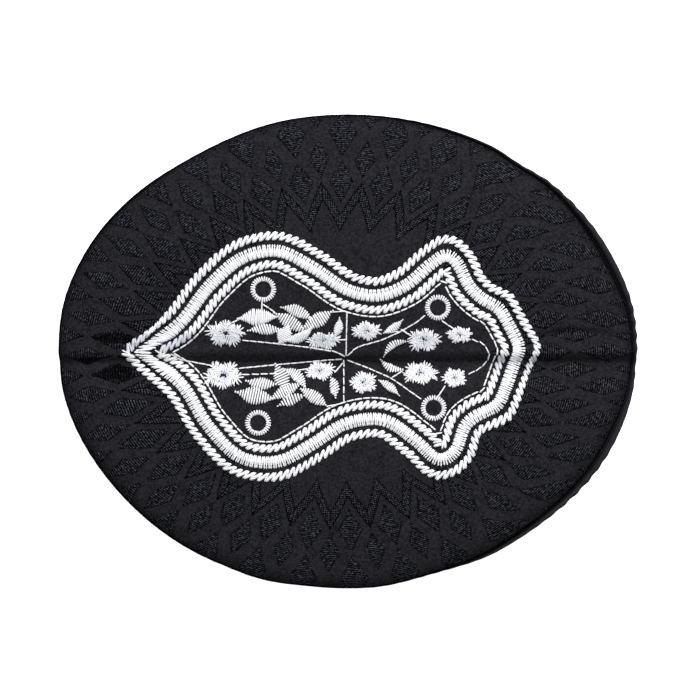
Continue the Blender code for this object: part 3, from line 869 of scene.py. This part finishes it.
def stitch_tree():
    """Nodes that sew stitches along curves in plan and lay them on the crown."""
    make, given = new_tree("stitches_along_a_line", (
        "Spacing", "Across", "Lean", "Zigzag", "Width", "Height", "Angle scatter", "Length scatter",
        "Width scatter", "Alternate width", "Waist", "Arch", "Lift", "Dusk", "Wear",
    ), (("Seed", "Int"), ("Crown", "Object")))

    def keep(geometry, name, value, kind="FLOAT"):
        """Store a value on a geometry's points."""
        return make.take("GeometryNodeStoreNamedAttribute", {"data_type": kind, "domain": "POINT"},
                         Geometry=geometry, Name=name, Value=value)

    # One stitch: a thread of unit length and width, blunt at its ends and arched in the middle
    bar = make.take("GeometryNodeCurvePrimitiveLine", Start=(-0.5, 0.0, 0.0), End=(0.5, 0.0, 0.0))
    bar = make.take("GeometryNodeResampleCurve", Curve=bar, Count=9)
    from_middle = make.take("GeometryNodeSplineParameter", output="Factor") - 0.5
    blunted = 1.0 - make.math("POWER", from_middle * 2.0, 10.0) * 0.6
    waist = make.ramp(abs(from_middle - 0.25), 0.16, 0.0) * given["Waist"]
    ring = make.take("GeometryNodeCurvePrimitiveCircle", Resolution=6, Radius=0.5)
    stitch = make.take("GeometryNodeCurveToMesh", Curve=bar, Profile_Curve=ring, Scale=blunted - waist,
                       Fill_Caps=True)
    spot = make.take("GeometryNodeInputPosition")
    along = make.split(spot)[0]
    arch = (1.0 - along * along * 4.0) * given["Arch"]
    stitch = make.take("GeometryNodeSetPosition", Geometry=stitch, Offset=make.vector(0.0, 0.0, arch))
    stitch = keep(stitch, "ply", spot, "FLOAT_VECTOR")
    # Painted shade: a stitch darkens towards its far end, as much as each kind of stitch asks
    stitch = keep(stitch, "dusk", make.ramp(along, -0.1, 0.4) * given["Dusk"])
    # How strongly the painted shade beside the fold darkens this kind of stitch
    stitch = keep(stitch, "wear", given["Wear"])

    # Places along the line, and how each stitch lies there
    dots = make.take("GeometryNodeResampleCurve", {"mode": "LENGTH"}, Curve=given["Line"],
                     Length=given["Spacing"])
    tangent = make.split(make.take("GeometryNodeInputTangent"))
    heading = make.math("ARCTAN2", tangent[1], tangent[0])
    index = make.take("GeometryNodeInputIndex")
    side = make.math("FLOORED_MODULO", index, 2.0) * 2.0 - 1.0

    def scatter(amount, seed_shift):
        draw = make.node("FunctionNodeRandomValue", {"data_type": "FLOAT"}, ID=index,
                         Seed=given["Seed"] + seed_shift)
        draw.inputs[2].default_value = -1.0
        draw.inputs[3].default_value = 1.0
        return Output(make, draw.outputs[1]) * amount

    lean = side * given["Zigzag"] + given["Lean"]
    slant = make.math("ARCTAN2", given["Across"], lean)
    turn = make.take("GeometryNodeInputCurveTilt") + scatter(given["Angle scatter"], 0)
    reach = make.math("SQRT", lean * lean + given["Across"] * given["Across"])
    reach = reach * make.take("GeometryNodeInputRadius")
    length = reach * (scatter(given["Length scatter"], 1) + 1.0)
    width = given["Width"] * (side * given["Alternate width"] + 1.0 + scatter(given["Width scatter"], 2))
    size = make.vector(length, width, given["Height"])
    dots = keep(dots, "size", size, "FLOAT_VECTOR")
    dots = keep(dots, "tone", scatter(0.5, 3))
    turned = make.take("FunctionNodeAxisAngleToRotation", Angle=heading + slant + turn)
    sewn = make.take("GeometryNodeInstanceOnPoints", Points=dots, Instance=stitch, Rotation=turned,
                     Scale=size)
    sewn = make.take("GeometryNodeRealizeInstances", Geometry=sewn)
    real = make.node("ShaderNodeVectorMath", {"operation": "MULTIPLY"})
    for socket, name in zip(real.inputs, ("ply", "size")):
        make.feed(socket, make.take("GeometryNodeInputNamedAttribute", {"data_type": "FLOAT_VECTOR"},
                                    "Attribute", Name=name))
    sewn = keep(sewn, "ply", Output(make, real.outputs[0]), "FLOAT_VECTOR")

    # Let every point down onto the crown
    x, y, lift = make.split(make.take("GeometryNodeInputPosition"))
    target = make.take("GeometryNodeObjectInfo", output="Geometry", Object=given["Crown"])
    hit = make.take("GeometryNodeRaycast", output="Hit Position", Target_Geometry=target,
                    Source_Position=make.vector(x, y, RAY_START), Ray_Direction=(0.0, 0.0, -1.0),
                    Ray_Length=RAY_REACH)
    level = make.split(hit)[2] + lift + given["Lift"]
    sewn = make.take("GeometryNodeSetPosition", Geometry=sewn, Position=make.vector(x, y, level))
    return close_tree(make, sewn, given["Thread"])


STITCHES = stitch_tree()

# White thread: a glossy thread of two strands that are wound round each other
THREAD_LIGHT = (0.93, 0.935, 0.94, 1.0)
THREAD_SHADE = (0.56, 0.58, 0.65, 1.0)
STRAND_TWIST, STRAND_SLANT = 0.0011, 6500.0
FIBRE_SCALE = (900.0, 9000.0)
# Painted shade: threads in a band beside the fold are darkened; towards the right end the band moves below
# the fold
FOLD_SHADE_Y, FOLD_SHADE_Y_SHIFT = 0.0034, 0.0085
FOLD_SHADE_SHIFT_FROM_X, FOLD_SHADE_SHIFT_TO_X = 0.03, 0.055
FOLD_SHADE_RANGE = (0.0046, 0.0013)
white_thread, cook, thread_shader = new_material("white_thread")
ply_x, ply_y, _ = cook.split(cook.attribute("ply", "Vector"))
tone, dusk, wear = (cook.attribute(name) for name in ("tone", "dusk", "wear"))
strand = cook.math("SINE", ply_x * (2.0 * math.pi / STRAND_TWIST) + ply_y * STRAND_SLANT)
fibre = cook.noise(cook.vector(ply_x * FIBRE_SCALE[0], ply_y * FIBRE_SCALE[1], tone), 1.0, 3.0, 0.6)
spot_x, spot_y, _ = cook.split(cook.place())
fold_shade_line = FOLD_SHADE_Y - cook.ramp(spot_x, FOLD_SHADE_SHIFT_FROM_X, FOLD_SHADE_SHIFT_TO_X) * FOLD_SHADE_Y_SHIFT
thread_fold_shade = cook.ramp(abs(spot_y - fold_shade_line), *FOLD_SHADE_RANGE) * wear
shade = fibre * 0.5 - strand * 0.14 + tone * 0.25 + dusk + thread_fold_shade
finish(cook, thread_shader, cook.colour(shade, THREAD_LIGHT, THREAD_SHADE), strand * 0.5 + fibre,
       strength=0.4, distance=0.00012, roughness=0.42, shine=0.5)
thread_shader.inputs["Sheen Weight"].default_value = 0.15


def sew(name, lines, closed, nodes=(), **settings):
    """Sew stitches along lines of x, y and, where given, a share of the length and a turn."""
    values = {"Lean": 0.0, "Zigzag": 0.0, "Angle_scatter": 0.05, "Length_scatter": 0.05,
              "Width_scatter": 0.08, "Alternate_width": 0.0, "Waist": 0.0, "Arch": 0.3, "Lift": 0.0002,
              "Dusk": 0.0, "Wear": 0.3, "Crown": crown, "Thread": white_thread, **settings}
    flat_lines = []
    for points in lines:
        points = np.asarray(points)
        missing = [np.ones(len(points)), np.zeros(len(points))][points.shape[1] - 2:]
        rows = np.column_stack([points, *missing])
        flat_lines.append(np.insert(rows, 2, 0.0, axis=1))
    data = stitches_along(name, STITCHES, flat_lines, closed, values)
    return add_piece(name, data, "white_thread", *nodes)


sandal_line = even_steps(smooth_loop(SANDAL_LINE, SANDAL_CORNERS))
outer_line = soften(even_steps(offset_loop(sandal_line, OUTER_ROPE_OFFSET, ROPE_PULLS)), 2)
outer_shares = 1.0 + near(outer_line, ROPE_SHORTENED)
outer_line = np.column_stack([outer_line, outer_shares, near(outer_line, ROPE_TURNED)])
sew("outer_rope_stitches", [outer_line], True, ("outer_rope",), **ROPE_STITCH, Angle_scatter=0.07, Seed=3)

# Satin band.
# Close white stitches straight across the line, over a low padding; at the tip they lie level.
SATIN_STITCH = {"Across": 0.0044, "Zigzag": 0.0002, "Width": 0.0008, "Height": 0.0008,
                "Angle_scatter": 0.04, "Length_scatter": 0.03, "Width_scatter": 0.12, "Waist": 0.4,
                "Arch": 0.5, "Wear": 0.15}
SATIN_SPACING = 0.00079
# Near the tip the stitches turn level, lie further apart and are longer
TIP_REACH = 0.0062
TIP_SPACING = 0.00118
LEVEL_FULL, LEVEL_START = 0.005, 0.0165
LONGER_AT_TIP = 0.38
satin_line = soften(sandal_line, 5)
from_tip = np.linalg.norm(satin_line - satin_line[0], axis=1)
ahead = np.roll(satin_line, -1, axis=0) - np.roll(satin_line, 1, axis=0)
to_level = np.pi / 2.0 - np.arctan2(ahead[:, 1], ahead[:, 0])
levelled = 1.0 - rise(from_tip, LEVEL_FULL, LEVEL_START)
satin_line = np.column_stack([satin_line, 1.0 + LONGER_AT_TIP * levelled, to_level * levelled])
sew("satin_band_stitches", [satin_line[from_tip > TIP_REACH]], False, ("satin_band",), **SATIN_STITCH,
    Spacing=SATIN_SPACING, Seed=5)
tip_line = np.roll(satin_line, len(satin_line) // 2, axis=0)
tip_line = tip_line[np.roll(from_tip, len(satin_line) // 2) <= TIP_REACH]
sew("satin_tip_stitches", [tip_line], False, **SATIN_STITCH, Spacing=TIP_SPACING, Seed=6)

# Inner rope.
# The outer rope's twin on the inside of the satin band, a little tighter.
INNER_ROPE_OFFSET = -0.0049
INNER_PULLS = (
    (-0.070, 0.004, 0.009, 0.0009),
    (-0.070, -0.004, 0.009, 0.0009),
)
INNER_STITCH = {**ROPE_STITCH, "Spacing": 0.0012, "Across": 0.0027}
inner_line = soften(even_steps(offset_loop(sandal_line, INNER_ROPE_OFFSET, INNER_PULLS)), 1)
sew("inner_rope_stitches", [inner_line], True, ("inner_rope",), **INNER_STITCH, Angle_scatter=0.08, Seed=7)

# Running line.
# A single thread in long running stitches, which closes the sandal outline on its inside. It
# starts and ends at the tip.
RUNNING_LINE_OFFSET = -0.0073
RUNNING_LINE_GAP = 3
running_line = even_steps(offset_loop(sandal_line, RUNNING_LINE_OFFSET, INNER_PULLS))
running_line = np.roll(running_line, -np.argmin(running_line[:, 0]), axis=0)
running_line = running_line[RUNNING_LINE_GAP:-RUNNING_LINE_GAP]
sew("running_line_stitches", [running_line], False, Spacing=0.0029, Across=0.0, Lean=0.0027,
    Width=0.00058, Height=0.0005, Angle_scatter=0.02, Wear=0.6, Seed=9)

# Rings.
# Four eyelets of short stitches set like spokes round a bare middle.
# Columns node, x_mm, y_mm
RINGS = (
    ("ring_upper_left", -29.8, 21.8),
    ("ring_lower_left", -31.6, -25.1),
    ("ring_upper_right", 31.6, 15.4),
    ("ring_lower_right", 30.1, -19.9),
)
RING_RADIUS = 0.00368


def oval(x, y, half_length, half_width, sides=72):
    spots = np.arange(sides) * 2.0 * np.pi / sides
    return np.column_stack([x + half_length * np.cos(spots), y + half_width * np.sin(spots)])


sew("ring_stitches", [oval(x / 1000, y / 1000, RING_RADIUS, RING_RADIUS) for _, x, y in RINGS], True,
    [row[0] for row in RINGS], Spacing=0.00078, Across=0.0018, Width=0.00062, Height=0.0008,
    Angle_scatter=0.1, Length_scatter=0.08, Seed=11)

# Flowers.
# Round satin-stitch blossoms: threads that spread from a short middle line to a ragged rim
# with a few lobes, and a second, shorter layer over them.
# Columns node, x_mm, y_mm, length_mm, width_mm, lobes, lobe_turn_deg
FLOWERS = (
    ("flower_upper_left", -43.2, 6.3, 15.0, 9.8, 5, 90),
    ("flower_lower_left", -44.1, -8.3, 15.4, 10.4, 5, 270),
    ("flower_upper_stem", -8.7, 3.7, 13.0, 6.2, 4, 20),
    ("flower_lower_stem", -9.9, -6.8, 12.0, 7.0, 4, 200),
    ("flower_upper_middle", 6.6, 7.2, 11.2, 7.0, 4, 100),
    ("flower_lower_middle", 5.5, -10.9, 10.7, 8.3, 5, 250),
    ("flower_upper_right", 26.7, 4.0, 13.4, 8.4, 5, 80),
    ("flower_lower_right", 25.4, -7.6, 13.6, 8.4, 5, 280),
    ("flower_upper_end", 39.3, 5.8, 10.1, 6.2, 5, 100),
    ("flower_lower_end", 37.5, -9.3, 9.8, 7.2, 5, 260),
)
LOBE_DEPTH = 0.34
PETAL_LAYERS = ((0.95, 0.0), (0.5, 0.35))


def petal_line(x, y, length, width, lobes, lobe_turn, cover, start):
    """A line halfway along a blossom's threads, with the share of the width that each covers."""
    spots = np.arange(96) * 2.0 * np.pi / 96 + start
    lobe = 1.0 - LOBE_DEPTH * (0.5 - 0.5 * np.cos(lobes * (spots - math.radians(lobe_turn))))
    rim = np.column_stack([length / 2000 * np.cos(spots), width / 2000 * np.sin(spots)]) * lobe[:, None]
    reach = np.linalg.norm(rim, axis=1) / (width / 2000) * cover
    return np.column_stack([(x / 1000, y / 1000) + rim * (1.0 - 0.5 * cover), reach])


# Painted shade: the blossoms' threads are darkened towards the middle
for number, (node, x, y, length, width, lobes, lobe_turn) in enumerate(FLOWERS):
    petals = [petal_line(x, y, length, width, lobes, lobe_turn, *layer) for layer in PETAL_LAYERS]
    sew(node + "_stitches", petals, True, (node,), Spacing=0.00068, Across=width / 2000,
        Width=0.00052, Height=0.0008, Angle_scatter=0.15, Length_scatter=0.16, Arch=0.4, Dusk=0.6,
        Wear=0.38, Seed=20 + number)

# Leaves.
# Pointed satin-stitch leaves, their threads laid across a curved middle line.
# Columns node, tip_x_mm, tip_y_mm, base_x_mm, base_y_mm, half_width_mm, bend_mm, pitch_mm, slant
LEAVES = (
    ("leaf_upper_2", -35.3, 7.3, -23.6, 7.6, 2.0, 0.4, 0.88, -0.33),
    ("leaf_upper_1", -38.8, 11.5, -25.4, 12.1, 3.0, 0.3, 0.64, 0.0),
    ("leaf_upper_4", -23.6, 15.5, -13.0, 11.4, 2.2, 0.9, 0.8, 0.0),
    ("leaf_upper_3", -26.0, 13.6, -15.2, 7.2, 2.5, 0.0, 0.86, 0.0),
    ("leaf_upper_5", -5.3, 14.3, -15.8, 8.2, 2.6, 0.2, 0.82, 0.0),
    ("leaf_upper_7", -22.9, 4.0, -12.6, 8.6, 1.8, -1.6, 0.62, 0.0),
    ("leaf_upper_6", -24.4, 2.6, -21.0, 8.9, 2.8, -0.2, 0.62, 0.0),
    ("leaf_upper_8", -3.0, 11.8, -4.7, 5.3, 1.65, 0.6, 0.62, 0.0),
    ("leaf_lower_2", -36.0, -10.3, -25.4, -11.6, 2.3, -0.4, 0.88, 0.2),
    ("leaf_lower_1", -39.6, -14.2, -26.4, -16.6, 3.0, -0.2, 0.84, 0.0),
    ("leaf_lower_3", -25.8, -4.4, -21.8, -13.6, 2.8, 0.3, 0.88, 0.0),
    ("leaf_lower_6", -22.9, -6.1, -15.0, -13.0, 2.0, 1.4, 0.76, 0.0),
    ("leaf_lower_4", -27.4, -17.0, -16.8, -11.5, 2.2, 0.3, 0.84, 0.0),
    ("leaf_lower_5", -24.7, -19.2, -15.4, -15.5, 2.1, 0.4, 1.0, 0.0),
    ("leaf_lower_7", -7.2, -19.3, -16.6, -13.2, 2.3, -0.2, 0.8, 0.0),
    ("leaf_lower_8", -4.4, -16.3, -6.1, -9.2, 1.9, -0.5, 0.8, -0.35),
    ("leaf_side_upper", 19.2, 11.1, 12.6, 6.5, 1.5, 0.5, 0.7, 0.0),
    ("leaf_side_lower", 18.0, -15.5, 10.9, -10.2, 1.5, -0.5, 0.7, 0.0),
    ("leaf_crescent_upper", 12.6, -1.9, 21.0, 3.5, 1.35, 1.9, 0.8, 0.0),
    ("leaf_crescent_lower", 11.5, -2.9, 19.3, -6.3, 1.45, -1.3, 0.8, 0.0),
)
TIP_SHARPNESS = 1.2
BASE_SHARPNESS = 0.8


def leaf_line(tip_x, tip_y, base_x, base_y, bend, steps=14):
    """A leaf's middle line from tip to base, bowed to its left, with the leaf's relative width."""
    tip, base = np.array((tip_x, tip_y)) / 1000, np.array((base_x, base_y)) / 1000
    along = base - tip
    side = np.array([-along[1], along[0]]) / np.linalg.norm(along)
    shares = np.linspace(0.0, 1.0, steps + 1)
    belly = np.maximum(np.sin(np.pi * shares), 0.0)
    spots = tip + along * shares[:, None] + side * bend / 1000 * belly[:, None]
    breadth = belly ** np.where(shares < 0.5, TIP_SHARPNESS, BASE_SHARPNESS)
    return np.column_stack([spots, np.maximum(breadth, 0.15)])


for number, (node, tip_x, tip_y, base_x, base_y, half_width, bend, pitch, slant) in enumerate(LEAVES):
    reach = 2.0 * half_width / 1000
    sew(node + "_stitches", [leaf_line(tip_x, tip_y, base_x, base_y, bend)], False, (node,),
        Spacing=pitch / 1000, Across=reach, Lean=slant * reach, Width=0.00066, Height=0.0008,
        Angle_scatter=0.05, Length_scatter=0.06, Arch=0.4, Lift=0.0002 + 0.00002 * number, Seed=40 + number)

# Stems.
# Fine running stitches that join the flowers, leaves and rings to an upright thread across
# the crease. Each stem is a line of points in mm.
STEMS = (
    ((-0.4, 13.7), (-0.7, -1.6)),
    ((-1.5, -3.0), (-1.5, -17.8)),
    ((-37.2, 3.9), (-24.8, 2.7), (-12.4, 1.2), (-4.3, -0.2), (-1.1, -1.8)),
    ((-38.7, -6.0), (-25.2, -4.7), (-3.9, -2.8), (-2.1, -2.9)),
    ((-37.2, -8.2), (-25.2, -7.8)),
    ((-62.4, -0.9), (-58.9, -3.0), (-51.4, -4.4), (-47.9, -5.1)),
    ((-17.4, -6.6), (-14.5, -6.2)),
    ((-2.1, -4.4), (-4.6, -7.3)),
    ((-30.3, 16.7), (-30.3, 15.3)),
    ((-30.1, 16.7), (-25.4, 13.5)),
    ((-40.4, 10.3), (-38.5, 11.2)),
    ((-5.7, 13.8), (-0.9, 14.2)),
    ((-4.3, 4.1), (-0.7, 4.1)),
    ((-0.2, -1.6), (3.1, 1.5), (11.7, 3.9), (18.4, 6.9), (25.7, 11.2), (26.8, 12.9)),
    ((19.0, 7.6), (21.8, 5.6)),
    ((12.8, 6.6), (17.7, 7.0)),
    ((32.9, 10.8), (37.3, 7.9)),
    ((43.6, 4.2), (47.4, 2.9), (49.9, -0.6), (49.4, -3.2), (46.9, -5.9), (42.6, -8.0)),
    ((-0.2, -3.1), (7.4, -6.0), (15.4, -9.5), (25.7, -16.8)),
    ((15.4, -9.3), (19.6, -6.6)),
    ((31.8, -15.6), (34.1, -12.3)),
    ((-7.3, -19.3), (-1.5, -18.1)),
)
STEM_PITCH = 0.0025


def stitch_centres(points):
    """A stem's line from the middle of its first stitch to the middle of its last."""
    points = np.array(points) / 1000
    length = run_along(points)[-1]
    count = max(2, round(length / STEM_PITCH))
    return at_distances(points, (np.arange(count) + 0.5) * length / count)


sew("stem_stitches", [stitch_centres(points) for points in STEMS], False,
    Spacing=STEM_PITCH, Across=0.0, Lean=0.0026, Width=0.0005, Height=0.0005, Angle_scatter=0.06, Seed=70)
